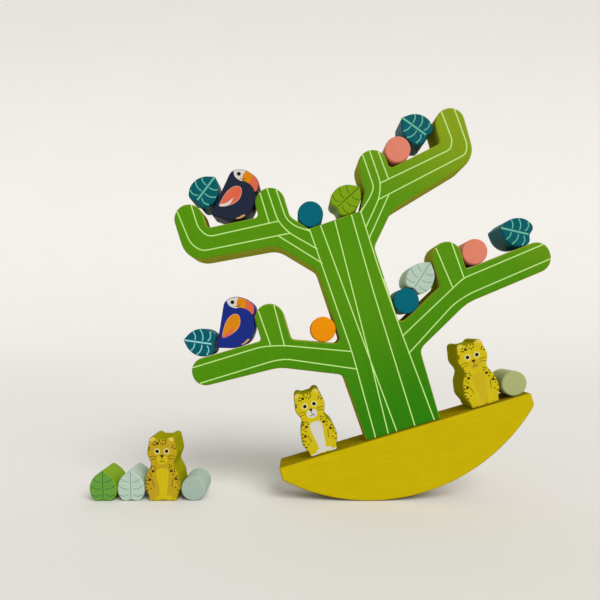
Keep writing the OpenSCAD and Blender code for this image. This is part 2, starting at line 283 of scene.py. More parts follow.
def stroke(line, width):
    """The shape of a line drawn with a round pen."""
    ways = [(b - a).normalized() for a, b in zip(line, line[1:])]
    ways = [(a + b).normalized() for a, b in zip(ways[:1] + ways, ways + ways[-1:])]
    left = [p + Vector((-d.y, d.x)) * width / 2 for p, d in zip(line, ways)]
    right = [p - Vector((-d.y, d.x)) * width / 2 for p, d in zip(line, ways)]
    ahead = math.degrees(math.atan2(ways[-1].y, ways[-1].x))
    back = math.degrees(math.atan2(-ways[0].y, -ways[0].x))
    return (right + arc(line[-1], width / 2, ahead - 90, ahead + 90, PEN_STEPS)[1:-1]
            + left[::-1] + arc(line[0], width / 2, back - 90, back + 90, PEN_STEPS)[1:-1])


# Slabs: sawn from board, edges rounded, front printed

def wall_outline(node):
    """The outline of a packed slab in mm, read where its walls begin at the front."""
    shell = bmesh.new()
    shell.from_mesh(frame["nodes"][node].data)
    bmesh.ops.remove_doubles(shell, verts=shell.verts, dist=PACKED_WELD * MM)
    walls = [face for face in shell.faces if abs(face.normal.y) < 0.1]
    front = min(vert.co.y for face in walls for vert in face.verts) + PACKED_WELD * MM
    links = {}
    for face in walls:
        for edge in face.edges:
            if all(vert.co.y < front for vert in edge.verts):
                for a, b in (edge.verts, reversed(edge.verts)):
                    links.setdefault(a, set()).add(b)
    here = min(links, key=lambda vert: (vert.co.z, vert.co.x))
    loop = []
    while here not in loop:
        loop.append(here)
        here = max(links[here] - set(loop), key=lambda vert: vert.co.x, default=loop[0])
    if len(loop) != len(links):
        raise RuntimeError(f"the outline of {node} is not one loop")
    outline = anticlockwise([Vector((vert.co.x, vert.co.z)) / MM for vert in loop])
    shell.free()
    return outline


def own_frame(outline, turn, on_foot):
    """An outline in its piece's own upright frame, and the matrix that puts the frame in its place.
    The frame's origin is the middle of the piece, or the middle of its foot."""
    spin = Matrix.Rotation(turn, 2)
    upright = [spin.transposed() @ p for p in outline]
    xs = [p.x for p in upright]
    zs = [p.y for p in upright]
    origin = Vector(((min(xs) + max(xs)) / 2, min(zs) if on_foot else (min(zs) + max(zs)) / 2))
    at = spin @ origin
    place = Matrix.Translation((at.x * MM, 0, at.y * MM)) @ Matrix.Rotation(-turn, 4, "Y")
    return [p - origin for p in upright], place


def shaped(corners, node, tilt, leans, on_foot):
    """An outline with rounded corners in its own frame, and the matrix that puts it where the node is,
    let down to the node's lowest point. The piece is tilted from the tree if it leans, or from the table."""
    tilt = math.radians(tilt)
    packed, place = own_frame(wall_outline(node), tilt + leans * LEAN, on_foot)
    outline = own_frame(rounded(corners), 0, on_foot)[0]
    down = Matrix.Rotation(-tilt, 2) @ Vector((0, -1))
    drop = down * (max(p.dot(down) for p in packed) - max(p.dot(down) for p in outline)) * MM
    return outline, place @ Matrix.Translation((drop.x, 0, drop.y))


def leaning_frame(height):
    """The place of a frame on the rocker's middle line that leans with it, at a height above the sole."""
    spin = Matrix.Rotation(-LEAN, 4, "Y")
    return Matrix.Translation(SOLE_CENTRE) @ spin @ Matrix.Translation((0, 0, height - SOLE_CENTRE.z))


def packed_points(node, place):
    """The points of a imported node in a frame's place, in mm."""
    back = place.inverted()
    return [back @ vert.co / MM for vert in frame["nodes"][node].data.vertices]


def dowel_reach(node, place):
    """The middle of a dowel along the trunk's foot, and its lowest and highest point, in mm."""
    packed = packed_points(node, place)
    across = [p.x for p in packed]
    heights = [p.z for p in packed]
    return (min(across) + max(across)) / 2, min(heights), max(heights)


def cut(shapes):
    """The plane cut along closed shapes: points, triangles, the corners that each point stands for, and the
    shapes that each triangle lies in."""
    corners = [p for shape in shapes for p in shape]
    starts = [sum(len(shape) for shape in shapes[:i]) for i in range(len(shapes))]
    loops = [list(range(start, start + len(shape))) for start, shape in zip(starts, shapes)]
    found, _, triangles, sources, _, owners = delaunay_2d_cdt(corners, [], loops, 1, WELD, True)
    return found, triangles, sources, owners


def printed_face(ring, prints):
    """The front face inside a ring, cut along its prints: points, [triangle, ink] rows, and the rim.
    Each rim row is a point, its stretch of the ring, the share along it, and the ink after it."""
    inks = [0] + [ink for ink, shape in prints]
    found, triangles, sources, owners = cut([ring] + [shape for ink, shape in prints])
    kept = [(list(tri), inks[max(owner)]) for tri, owner in zip(triangles, owners) if 0 in owner]
    sides = {side: ink for tri, ink in kept for side in ring_pairs(tri)}
    ahead = {a: b for a, b in sides if (b, a) not in sides}
    here = next(i for i, ids in enumerate(sources) if 0 in ids)
    rim = []
    for _ in ahead:
        corner = [i for i in sources[here] if i < len(ring)]
        stretch = corner[0] if corner else rim[-1][1]
        start, end = ring[stretch], ring[(stretch + 1) % len(ring)]
        share = 0 if corner else (found[here] - start).length / (end - start).length
        rim.append((here, stretch, share, sides[here, ahead[here]]))
        here = ahead[here]
    return found, kept, rim


def outline_normals(outline):
    """The outward normals at the start and end of each stretch of an outline, shared across soft corners."""
    flat = [Vector((b.y - a.y, a.x - b.x)).normalized() for a, b in ring_pairs(outline)]
    pairs = []
    for before, here, after in zip(flat[-1:] + flat[:-1], flat, flat[1:] + flat[:1]):
        start = (before + here).normalized() if before.angle(here) < CRISP else here
        end = (here + after).normalized() if here.angle(after) < CRISP else here
        pairs.append((start, end))
    return pairs


def sink(bores, top, side, verts, faces, inks, facing):
    """Fills a flat top round its bores, and adds their walls and floors to a slab. A bore is its place along
    the top, its radius, the height of its floor and its material number."""
    circles = [circle(u, radius, 48) for u, radius, _, _ in bores]
    shapes = [[verts[i].xy for i in top]] + circles
    loops = [top]
    for rim in circles:
        loops.append(list(range(len(verts), len(verts) + len(rim))))
        verts += [Vector((p.x, p.y, verts[top[0]].z)) for p in rim]
    numbers = [i for loop in loops for i in loop]
    _, triangles, sources, owners = cut(shapes)
    for tri in (tri for tri, owner in zip(triangles, owners) if owner == [0]):
        faces.append([numbers[sources[i][0]] for i in tri])
        inks.append(side)
        facing += [(0, 0, 1)] * 3
    for (u, _, floor, ink), rim, mouth in zip(bores, circles, loops[1:]):
        low = list(range(len(verts), len(verts) + len(rim)))
        verts += [Vector((p.x, p.y, floor)) for p in rim]
        inward = [Vector((u - p.x, -p.y, 0)).normalized() for p in rim]
        for a, b in ring_pairs(list(range(len(rim)))):
            faces.append([mouth[a], mouth[b], low[b], low[a]])
            inks.append(ink)
            facing += [inward[a], inward[b], inward[b], inward[a]]
        faces.append(low)
        inks.append(ink)
        facing += [(0, 0, 1)] * len(low)


def slab_mesh(name, outline, half, edge, prints, place, side, bores):
    """A closed slab of half thickness half in its place, its edges rounded, with printed faces by material
    number and side as that of the walls. Bores go into its longest flat wall, which has to be its top.
    Each point keeps its place in the piece's own frame."""
    found, kept, rim = printed_face(inset(outline, edge), prints)
    normals = outline_normals(outline)
    lengths = [(b - a).length for a, b in ring_pairs(outline)]
    longest = lengths.index(max(lengths))
    bends = [math.pi / 2 * i / EDGE_STEPS for i in range(EDGE_STEPS + 1)]
    # Rows of points from front to back: the share of the way out to the wall, the depth, and the normal's y
    rows = [(math.sin(a), edge * (1 - math.cos(a)) - half, -math.cos(a)) for a in bends]
    rows += [(out, -y, -lean) for out, y, lean in rows[::-1]]
    used = sorted({i for tri, ink in kept for i in tri})
    number = {i: k for k, i in enumerate(used)}
    verts = [Vector((found[i].x, -half, found[i].y)) for i in used]
    faces = [[number[i] for i in tri] for tri, ink in kept]
    inks = [ink for tri, ink in kept]
    facing = [(0, -1, 0)] * (3 * len(kept))

    rings = [[number[i] for i, stretch, share, ink in rim]]
    for out, y, lean in rows[1:]:
        rings.append(list(range(len(verts), len(verts) + len(rim))))
        for i, stretch, share, ink in rim:
            outer = outline[stretch].lerp(outline[(stretch + 1) % len(outline)], share)
            p = found[i].lerp(outer, out)
            verts.append(Vector((p.x, y, p.y)))

    # Each rim point's stretch and share, and the share at the next point, where a corner's 0 counts as 1
    shares = [(stretch, share, after[2] or 1) for (_, stretch, share, _), after in ring_pairs(rim)]
    for k, (near, far) in enumerate(zip(rows, rows[1:])):
        for j, (stretch, share, next_share) in enumerate(shares):
            n = (j + 1) % len(rim)
            wall = [rings[k][j], rings[k + 1][j], rings[k + 1][n], rings[k][n]]
            if bores and k == EDGE_STEPS and stretch == longest:
                sink(bores, wall, side, verts, faces, inks, facing)
                continue
            faces.append(wall)
            inks.append(rim[j][3] if k < EDGE_STEPS // 2 else side)
            start, end = normals[stretch]
            for row, t in ((near, share), (far, share), (far, next_share), (near, next_share)):
                away = start.lerp(end, t).normalized() * row[0]
                facing.append((away.x, row[2], away.y))

    _, triangles, sources, owners = cut([[verts[i].xz for i in rings[-1]]])
    for tri in (tri for tri, owner in zip(triangles, owners) if owner):
        faces.append([rings[-1][sources[i][0]] for i in reversed(tri)])
        inks.append(0)
        facing += [(0, 1, 0)] * 3

    mesh = bpy.data.meshes.new(name)
    mesh.from_pydata([place @ (v * MM) for v in verts], [], faces)
    mesh.polygons.foreach_set("material_index", inks)
    mesh.polygons.foreach_set("use_smooth", [True] * len(faces))
    mesh.normals_split_custom_set([place.to_3x3() @ Vector(way) for way in facing])
    own = mesh.attributes.new(OWN_FRAME, "FLOAT_VECTOR", "POINT")
    own.data.foreach_set("vector", [c * MM for v in verts for c in v])
    return mesh


def half_depth(node):
    """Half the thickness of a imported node, front to back."""
    low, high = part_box(node)
    return (high.y - low.y) / 2


def add_slab(node, outline, place, edge, paints, prints=(), side=0, bores=(), half=None):
    """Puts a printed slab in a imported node's place: it rides on the node's body and stands for the node.
    It is as thick as the node, or twice half."""
    half = half or half_depth(node)
    mesh = slab_mesh(node + "_wood", outline, half / MM, edge / MM, prints, place, side, bores)
    for paint in paints:
        mesh.materials.append(paint)
    piece = bpy.data.objects.new(node + "_wood", mesh)
    bpy.context.scene.collection.objects.link(piece)
    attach(piece, BODY_OF[node])
    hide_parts(node)


# Materials

def add(material, kind, inputs, **settings):
    """Adds one node with its settings, and sets or links its inputs."""
    tree = material.node_tree
    node = tree.nodes.new(kind)
    for name, value in settings.items():
        setattr(node, name, value)
    for name, value in inputs.items():
        if isinstance(value, bpy.types.NodeSocket):
            tree.links.new(value, node.inputs[name])
        else:
            node.inputs[name].default_value = value
    return node


def blank(name):
    """A new node material with only its output."""
    material = bpy.data.materials.new(name)
    material.use_nodes = True
    material.node_tree.nodes.clear()
    return material


def tint(rgb, level):
    """A colour made lighter or darker by a factor."""
    return (*[min(1, c * level) for c in rgb], 1)


def grain(material, along, length_scale=1):
    """The place in the piece's own frame, and two noises there: wood grain stretched along one axis, and
    uneven patches of paint."""
    size = bpy.context.scene.tree_sizes
    scale = [1 / size.grain_width] * 3
    scale["XYZ".index(along)] = 1 / (size.grain_length * length_scale)
    where = add(material, "ShaderNodeAttribute", {}, attribute_name=OWN_FRAME).outputs["Vector"]
    space = add(material, "ShaderNodeMapping", {"Vector": where, "Scale": scale}).outputs["Vector"]
    streak = add(material, "ShaderNodeTexNoise", {"Vector": space, "Scale": 1, "Detail": 3, "Roughness": 0.6})
    cloud = add(material, "ShaderNodeTexNoise", {"Vector": where, "Scale": 1 / size.cloud, "Detail": 2})
    return where, streak.outputs["Fac"], cloud.outputs["Fac"]


def finish(material, base, streak, rough=0.45, bump=0.12, sheen=0.05):
    """Painted surface over a base colour: uneven gloss, and the grain standing up a little."""
    spread = 0.06
    gloss = add(material, "ShaderNodeMapRange", {
        "Value": streak, "From Min": 0.3, "From Max": 0.7,
        "To Min": rough - spread, "To Max": rough + spread})
    relief = add(material, "ShaderNodeBump", {"Height": streak, "Strength": bump, "Distance": 0.2 * MM})
    shader = add(material, "ShaderNodeBsdfPrincipled", {
        "Base Color": base, "Roughness": gloss.outputs["Result"], "Normal": relief.outputs["Normal"],
        "IOR": 1.5, "Specular IOR Level": sheen})
    add(material, "ShaderNodeOutputMaterial", {"Surface": shader.outputs["BSDF"]})
    return material


def uneven(material, base, streak, cloud, depth):
    """A base colour that the grain and the patches make lighter and darker."""
    # The two noises together run from about 0.45 to 0.95
    both = add(material, "ShaderNodeMath", {0: cloud, 1: 0.4, 2: streak}, operation="MULTIPLY_ADD")
    level = add(material, "ShaderNodeMapRange", {
        "Value": both.outputs["Value"], "From Min": 0.45, "From Max": 0.95,
        "To Min": 1 - depth, "To Max": 1 + depth}).outputs["Result"]
    mix = add(material, "ShaderNodeVectorMath", {0: base, "Scale": level}, operation="SCALE")
    return mix.outputs["Vector"]


def satin_paint(name, rgb, along="Z", depth=0.07, **surface):
    """Satin water-based paint rolled on sanded beech: an even colour, a soft sheen,
    and faint streaks where the grain of the wood has lifted the coat. Surface is what finish takes."""
    material = blank(name)
    _, streak, cloud = grain(material, along)
    return finish(material, uneven(material, tuple(rgb), streak, cloud, depth), streak, **surface)


def rocker_paint(name, rgb):
    """Satin paint on the rocker's board: the streaks of the grain run along it."""
    return satin_paint(name, rgb, along="X")


def sawn_paint(name, rgb):
    """Thin paint on a sawn side: the cut grain drinks it, so that it dries matt and streaky. The colours it is
    given are painted shade and painted bounce light.
    """
    return satin_paint(name, rgb, depth=0.1, rough=0.85, bump=0.2, sheen=0)


def screen_ink(name, rgb):
    """Screen-printing ink on the painted face: flat and a little duller than the paint,
    so that a print shows by its edge and its sheen."""
    return satin_paint(name, rgb, depth=0.04, rough=0.55, bump=0.08)


def peg_paint(name, rgb):
    """Satin paint on a peg sawn from a turned rod: the ends show the pores of the end grain
    through the coat, and the round side shows them as streaks."""
    return satin_paint(name, rgb, along="Y", depth=0.08, rough=0.5)


# Height at which the painted shade on the trunk's foot has faded out, in metres
FOOT_SHADE_FADE = 0.13
# The green turns to the crown's painted warm light where height and reach to the right add up to between these, in
# metres
CROWN_LIGHT_FADE = (0.2, 0.34)


def tree_paint_with_painted_light(name, greens):
    """Satin paint on the sawn tree, with light and shade painted into its colour: a deeper green at the foot as
    painted shade, leaf green on the trunk, and a yellow green toward the tip of the upper right branch as painted
    warm light."""
    # foot is the green of the painted shade, top the yellow green of the painted warm light
    foot, middle, top = [(*rgb, 1) for rgb in greens]
    material = blank(name)
    where, streak, cloud = grain(material, "Z", length_scale=2)
    axes = add(material, "ShaderNodeSeparateXYZ", {"Vector": where}).outputs
    toward = add(material, "ShaderNodeMath", {0: axes["X"], 1: axes["Z"]}, operation="ADD")
    foot_shade = add(material, "ShaderNodeMapRange", {
        "Value": axes["Z"], "From Min": 0, "From Max": FOOT_SHADE_FADE}, interpolation_type="SMOOTHSTEP")
    crown = add(material, "ShaderNodeMapRange", {
        "Value": toward.outputs["Value"], "From Min": CROWN_LIGHT_FADE[0], "From Max": CROWN_LIGHT_FADE[1]},
        interpolation_type="SMOOTHSTEP")
    low = add(material, "ShaderNodeMix", {
        "Factor": foot_shade.outputs["Result"], "A": foot, "B": middle}, data_type="RGBA").outputs["Result"]
    base = add(material, "ShaderNodeMix", {
        "Factor": crown.outputs["Result"], "A": low, "B": top}, data_type="RGBA").outputs["Result"]
    return finish(material, uneven(material, base, streak, cloud, 0.06), streak)


def bare_beech(name, rgb):
    """Beech dowel rod, turned and left bare: pale tan with fine dark flecks along its length."""
    return satin_paint(name, rgb, along="Y", depth=0.16, rough=0.6, bump=0.3)


def studio_paper(name, rgb):
    """Matt background paper: pale, without gloss, with a faint cloudiness in patches of 400 mm."""
    material = blank(name)
    where = add(material, "ShaderNodeTexCoord", {}).outputs["Object"]
    cloud = add(material, "ShaderNodeTexNoise", {"Vector": where, "Scale": 1 / (400 * MM), "Detail": 2})
    base = add(material, "ShaderNodeMix", {
        "Factor": cloud.outputs["Fac"], "A": tint(rgb, 0.985), "B": tint(rgb, 1.015)}, data_type="RGBA")
    shader = add(material, "ShaderNodeBsdfPrincipled", {
        "Base Color": base.outputs["Result"], "Roughness": 0.9, "Specular IOR Level": 0.1})
    add(material, "ShaderNodeOutputMaterial", {"Surface": shader.outputs["BSDF"]})
    return material


def coat(make, name, hues):
    """A material of that name, made from its colour or colours the first time it is asked for."""
    return bpy.data.materials.get(name) or make(name, hues)


# Pieces

class AddRocker(bpy.types.Operator):
    """Adds the yellow rocker: flat on top, with a round sole that turns up into its ends"""
    bl_idname = "balance_tree.rocker"
    bl_label = "Rocker"

    def execute(self, context):
        paint, size = context.scene.tree_paints, context.scene.tree_sizes
        place = leaning_frame(0)
        packed = packed_points("rocker_base", place)
        radius = SOLE_CENTRE.z / MM
        half = max(p.x for p in packed)
        top = max(p.z for p in packed)
        bend = size.base_end / MM
        corner = size.base_edge / MM
        middle_x = half - bend
        middle_z = radius - math.sqrt((radius - bend) ** 2 - middle_x ** 2)
        swing = math.degrees(math.asin(middle_x / (radius - bend)))
        steps = 6
        sole_steps = 90
        outline = arc((0, radius), radius, -90 - swing, -90 + swing, sole_steps)
        outline += arc((middle_x, middle_z), bend, -90 + swing, 0, steps)[1:]
        outline += arc((half - corner, top - corner), corner, 0, 90, steps)
        outline += arc((corner - half, top - corner), corner, 90, 180, steps)
        outline += arc((-middle_x, middle_z), bend, 180, 270 - swing, steps)[:-1]
        # The rocker's sides and top take a darker yellow, which is painted shade
        paints = [coat(rocker_paint, "rocker_satin_paint", paint.rocker),
                  coat(sawn_paint, "rocker_side_matt_paint", paint.rocker_side),
                  coat(bare_beech, "bare_beech", paint.beech)]
        bores = []
        for node in DOWELS:
            across, low, _ = dowel_reach(node, place)
            wide = half_depth(node) + size.dowel_fit
            bores.append((across, wide / MM, low - size.bore_room / MM, 2))
        add_slab("rocker_base", outline, place, size.base_edge, paints, side=1, bores=bores)
        return {"FINISHED"}


# Lines printed on the tree, in mm from the middle of the trunk and above its foot
TRUNK_LINES = [
    [(-26, 176), (-21.5, 71.5), (-23, 1.5)],
    [(-17, 176), (-9.5, 59.5), (-5.5, 1.5)],
    [(-5, 176), (-9.5, 61), (-12.5, 1.5)],
    [(8.5, 176), (8, 110), (9.5, 1.5)],
    [(16, 176), (17, 129), (20, 76), (25.5, 1.5)],
]
UPPER_LEFT_LINES = [
    [(-121, 223), (-118, 190), (-111.5, 181.5), (-41.5, 174.5)],
    [(-108.5, 222), (-108.5, 199), (-103, 190.5), (-47.5, 186)],
    [(-54.5, 216), (-54.5, 186.5)],
    [(-48.5, 216), (-47.5, 186), (-42, 175), (-24.5, 156.5)],
    [(-42, 216), (-41, 186), (-36, 178.5), (-26, 171.5)],
    [(-50, 174.5), (-24, 145)],
]
UPPER_RIGHT_LINES = [
    [(29.5, 219), (31, 189), (27, 183.5), (16.5, 174)],
    [(35.5, 219), (37, 190.5), (32.5, 179.5), (16.5, 161.5)],
    [(41.5, 219), (43.5, 192)],
    [(37, 190.5), (95.5, 199), (98.5, 205.5), (96, 232)],
    [(32.5, 179), (105.5, 192), (108.5, 198.5), (106, 232)],
    [(40, 179.5), (16.5, 152.5)],
]
LOWER_LEFT_LINES = [
    [(-150, 96.5), (-88, 96.5), (-72, 92.5), (-21.5, 72)],
    [(-150, 83), (-82.5, 83), (-73, 81.5), (-21.5, 57.5)],
    [(-83, 130), (-81.5, 96)],
    [(-69.5, 130), (-71, 92.5)],
]
LOWER_RIGHT_LINES = [
    [(20, 72), (69, 97), (78, 101.5), (150, 109)],
    [(21, 57.5), (65.5, 84.5), (79, 88.5), (150, 96.5)],
    [(63.5, 134), (68, 97.5)],
    [(76.5, 134), (78.5, 101.5)],
]


class AddTree(bpy.types.Operator):
    """Adds the green tree with its printed lines, and the bare dowels in its foot"""
    bl_idname = "balance_tree.tree"
    bl_label = "Tree"

    def execute(self, context):
        paint, size = context.scene.tree_paints, context.scene.tree_sizes
        foot = min(p.z for p in packed_points("tree", leaning_frame(0)))
        place = leaning_frame(foot * MM)
        back = place.inverted()
        outline = [(back @ Vector((p.x * MM, 0, p.y * MM)) / MM).xz for p in wall_outline("tree")]
        lines = TRUNK_LINES + UPPER_LEFT_LINES + UPPER_RIGHT_LINES + LOWER_LEFT_LINES + LOWER_RIGHT_LINES
        prints = [(1, stroke(bent(line, size.line_bend / MM), size.tree_line / MM)) for line in lines]
        # The foot's deeper green is painted shade, and the crown's yellow green is painted warm light
        greens = (paint.tree_foot_painted_shade, paint.tree_middle, paint.tree_crown_painted_light)
        paints = [coat(tree_paint_with_painted_light, "tree_satin_paint", greens),
                  coat(screen_ink, "pale_green_ink", paint.tree_line),
                  # The sides' olive is painted warm bounce light
                  coat(sawn_paint, "tree_side_matt_paint", paint.tree_side)]
        add_slab("tree", outline, place, size.wood_edge, paints, prints, 2)
        beech = coat(bare_beech, "bare_beech", paint.beech)
        upended = Matrix.Rotation(math.pi / 2, 4, "X")
        for node in DOWELS:
            across, low, high = dowel_reach(node, place)
            middle = Matrix.Translation((across * MM, 0, (low + high) / 2 * MM))
            add_slab(node, circle(0, half_depth(node) / MM, 60), place @ middle @ upended,
                     size.dowel_edge, [beech], half=(high - low) / 2 * MM)
        return {"FINISHED"}


# Right half of a leopard's outline, upward from its foot, with the radius of each corner, in mm
LEOPARD = [(11.2, 0, 2), (11.6, 4.5, 6), (14.8, 11.5, 8), (13.2, 22, 10), (8.7, 30, 6), (12.4, 38.5, 8),
           (9.4, 54.9, 3.2), (3.6, 50.7, 2.5)]

# Leopard prints, in mm from the middle of the foot
SMALL_SPOTS = [
    (-6, 48.5), (-7, 46.5), (-5.6, 46), (-2, 49), (-0.5, 47.2), (1.2, 49.6), (2.6, 47.2), (3.2, 49),
    (1, 46.2), (-10.4, 42), (-9.9, 43.6), (8.4, 44), (9, 45.4), (10.2, 43),
    (-8, 28.6), (-6, 28.2), (-9, 26.8), (-5.4, 26.4), (-10, 23), (-9, 21.2), (-11.6, 19.6), (-12.6, 17),
    (-12.8, 14.4), (-11.4, 13.6), (-13.2, 11.4), (-9.6, 10.6), (-11.8, 9),
    (5.8, 27.4), (7.6, 28.6), (6, 29.6), (9.6, 26.4), (9.8, 24.2), (8.6, 22), (11.8, 20.4), (12.8, 17.6),
    (12.2, 15.4), (13.4, 13.2), (10.4, 11.2), (13.6, 11), (12, 9.2),
]
LARGE_SPOTS = [(-3.6, 47.2), (-7.4, 24.6), (-10.4, 17.6), (7.2, 24.8), (10.8, 18.4)]
WHISKERS = [
    [(-5, 36.2), (-7.4, 36.9), (-9.8, 36.2)], [(-5, 34.4), (-7.2, 34.6), (-9.4, 33.6)],
    [(5, 36.4), (7.4, 37.2), (9.8, 36.6)], [(5, 34.6), (7.2, 35), (9.4, 34.2)],
]
ARM_LINES = [[(-8.8, 18.2), (-7.6, 15), (-6.6, 11.6)], [(8.6, 18.2), (7.8, 15), (7.4, 11.6)]]
BELLY = [(0.2, 27), (-3.2, 26.4), (-4.7, 24), (-4.4, 19), (-3.2, 11), (-2.3, 4), (-1.5, 1.6), (2.3, 1.6),
         (3, 4), (3.8, 11), (4.8, 19), (5, 24), (3.6, 26.4)]
PAWS = [(-7, 1.1, 3.4, 1), (8, 1.3, 3.5, 1.1), (-3, 3, 2.4, 1.5), (4.8, 3.2, 2.6, 1.5)]
TOES = [(-8.4, 0.9), (-6.4, 0.9), (-0.6, 1.2), (1.2, 1.2), (6.6, 1), (8.6, 1)]
EYES = [(-3.8, 40.7), (3.8, 40.8)]
EARS = [(-7.4, 50.2, 30), (7.4, 50.2, -30)]
NOSE = [(-1.4, 37.4), (0, 37.8), (1.4, 37.4), (0.7, 36), (0, 35.4), (-0.7, 36)]
MOUTH = [[(0, 35.6), (0.1, 33)], [(-1.9, 32.7), (-0.9, 32), (0.1, 32.9), (1.1, 32), (2.1, 32.8)]]
MUZZLE = (0.1, 33.8, 4.4, 3.6)
# Radii of the rings round the eyes and of the eyes, radii of ears and spots, and half the length of a toe
EYE_RING = 2.4
EYE = 1.5
EAR = (2.1, 1.2)
SMALL_SPOT = (0.5, 0.7)
LARGE_SPOT = (1.1, 1.3)
TOE = 0.6
# A field past the outline on all sides, for the coat under the other prints
WHOLE_FRONT = [(-20, -5), (20, -5), (20, 60), (-20, 60)]

# The body's paint and the inks, in the order of their numbers
LEOPARD_HUES = ("leopard", "black", "brown", "cream", "white", "tan", "ochre", "peach")
# The hues of each leopard's front, belly and muzzle, paws and toes, and whether it leans with the rocker
LEOPARDS = {
    "leopard_left": ("leopard", "white", "white", "cream", 1),
    "leopard_right": ("leopard", "tan", "leopard", "brown", 1),
    "leopard_loose": ("ochre", "leopard", "leopard", "brown", 0),
}


def leopard_prints(size, front, belly, paw, toe):
    """The face, belly, arms and spots of a leopard, in the hues of its parts, as paint numbers and shapes."""
    fine = size.fine_line / MM
    prints = [(front, points(WHOLE_FRONT))]
    prints += [("peach", oval(u, v, *EAR, tilt)) for u, v, tilt in EARS]
    prints += [(belly, blob(BELLY)), (belly, oval(*MUZZLE))]
    prints += [(paw, oval(*shape)) for shape in PAWS]
    for u, v in EYES:
        prints += [("cream", oval(u, v, EYE_RING, EYE_RING)), ("black", oval(u, v, EYE, EYE))]
    # The spots' tilts only have to differ from one to the next
    prints += [("brown", oval(u, v, *SMALL_SPOT, 37 * u + 53 * v)) for u, v in SMALL_SPOTS]
    prints += [("brown", oval(u, v, *LARGE_SPOT, 37 * u)) for u, v in LARGE_SPOTS]
    prints += [("brown", stroke(curve(line), fine)) for line in WHISKERS + ARM_LINES + MOUTH]
    prints += [(toe, stroke(points([(u, v - TOE), (u, v + TOE)]), fine)) for u, v in TOES]
    prints.append(("black", blob(NOSE)))
    return [(LEOPARD_HUES.index(hue), shape) for hue, shape in prints]


class AddLeopards(bpy.types.Operator):
    """Adds the three leopards: two on the rocker and a loose one beside it"""
    bl_idname = "balance_tree.leopards"
    bl_label = "Leopards"

    def execute(self, context):
        paint, size = context.scene.tree_paints, context.scene.tree_sizes
        # The leopards' sides take a darker olive yellow, which is painted shade
        paints = [coat(satin_paint, "leopard_satin_paint", paint.leopard)]
        paints += [coat(screen_ink, hue + "_ink", getattr(paint, hue)) for hue in LEOPARD_HUES[1:]]
        paints.append(coat(sawn_paint, "leopard_side_matt_paint", paint.leopard_side))
        corners = LEOPARD + [(-u, v, radius) for u, v, radius in LEOPARD[::-1]]
        for node, (*hues, leans) in LEOPARDS.items():
            outline, place = shaped(corners, node, 0, leans, True)
            add_slab(node, outline, place, size.wood_edge, paints,
                     leopard_prints(size, *hues), len(paints) - 1)
        return {"FINISHED"}


# A toucan's outline from its tail, with the radius of each corner, in mm
TOUCAN = [(-19.6, 4.2, 1.5), (-6, -0.4, 14), (6.5, 0.2, 12), (14.2, 10.2, 14), (15.1, 20.6, 1),
          (16.8, 20.9, 1.6), (19.2, 26.5, 6), (16.5, 32.8, 14), (8.5, 38, 12), (1.2, 39, 9),
          (-3.6, 36.3, 7.5)]

# Toucan prints, in mm from the middle of the foot
TOUCAN_FACE = [(1, 41), (-0.5, 37.5), (-0.4, 34.5), (0.9, 32.2), (3.3, 30.4), (5.6, 29.6), (8, 32), (11, 38),
               (6, 43)]
BEAK = [(10.8, 39.5), (8.9, 37.2), (7.3, 35.4), (6.2, 33.4), (5.7, 31.4), (5.7, 30), (8, 29.2), (11, 27.6),
        (13, 25.8), (14.6, 23.4), (15.4, 20), (22, 19), (22, 40)]
BEAK_TIP = [(16.5, 36.5), (14.4, 33.2), (12.8, 30.6), (11, 27.6), (13, 25.8), (14.6, 23.4), (15.4, 20),
            (22, 19), (22, 36)]
SMILE = [(4.2, 31.4), (6.2, 30.7), (8.6, 31.4)]
WING = [(-12.3, 11.4), (-10, 16.2), (-6.5, 21.2), (-2.5, 24.5), (1.2, 25.7), (4.2, 24.7), (5.1, 22),
        (4.3, 18.2), (2, 14.8), (-1.5, 12.6), (-5.5, 11.3), (-10, 10.6)]
CRESCENT = [(-12.4, 11.9), (-11.9, 10.8), (-8.5, 10.6), (-5.5, 11.4), (-3.2, 13.4), (-1.6, 17), (-4, 15),
            (-6.5, 13.4), (-9.5, 12.6)]
TOUCAN_FOOT = [(-0.5, 0.8), (2.8, 2.2), (5.8, 3.8), (7.4, 3.4), (7, 0), (3, -2)]
TOUCAN_EYE = (3.3, 35, 1.5, 1.5)

# The inks on a toucan, whose numbers follow the body's paint
TOUCAN_INKS = ("white", "amber", "coral", "black", "foot_tan", "wing_edge")
# Each toucan's tilt from the tree in degrees, and the hues of its body, wing and crescent
TOUCANS = {
    "toucan_navy": (-16, "navy", "coral", "white"),
    "toucan_blue": (0, "blue", "amber", "coral"),
}


def toucan_prints(size, wing, crescent):
    """The face, beak, wing and foot of a toucan, with its wing and crescent in their hues, as paint numbers
    and shapes."""
    half_edge = size.wing_edge / MM / 2
    prints = [
        ("white", blob(TOUCAN_FACE)),
        ("amber", anticlockwise(points(BEAK))),
        ("coral", anticlockwise(points(BEAK_TIP))),
        ("black", oval(*TOUCAN_EYE)),
        ("black", stroke(curve(SMILE), size.fine_line / MM)),
        ("wing_edge", inset(blob(WING), -half_edge)),
        (wing, inset(blob(WING), half_edge)),
        (crescent, blob(CRESCENT)),
        ("foot_tan", blob(TOUCAN_FOOT)),
    ]
    return [(1 + TOUCAN_INKS.index(hue), shape) for hue, shape in prints]


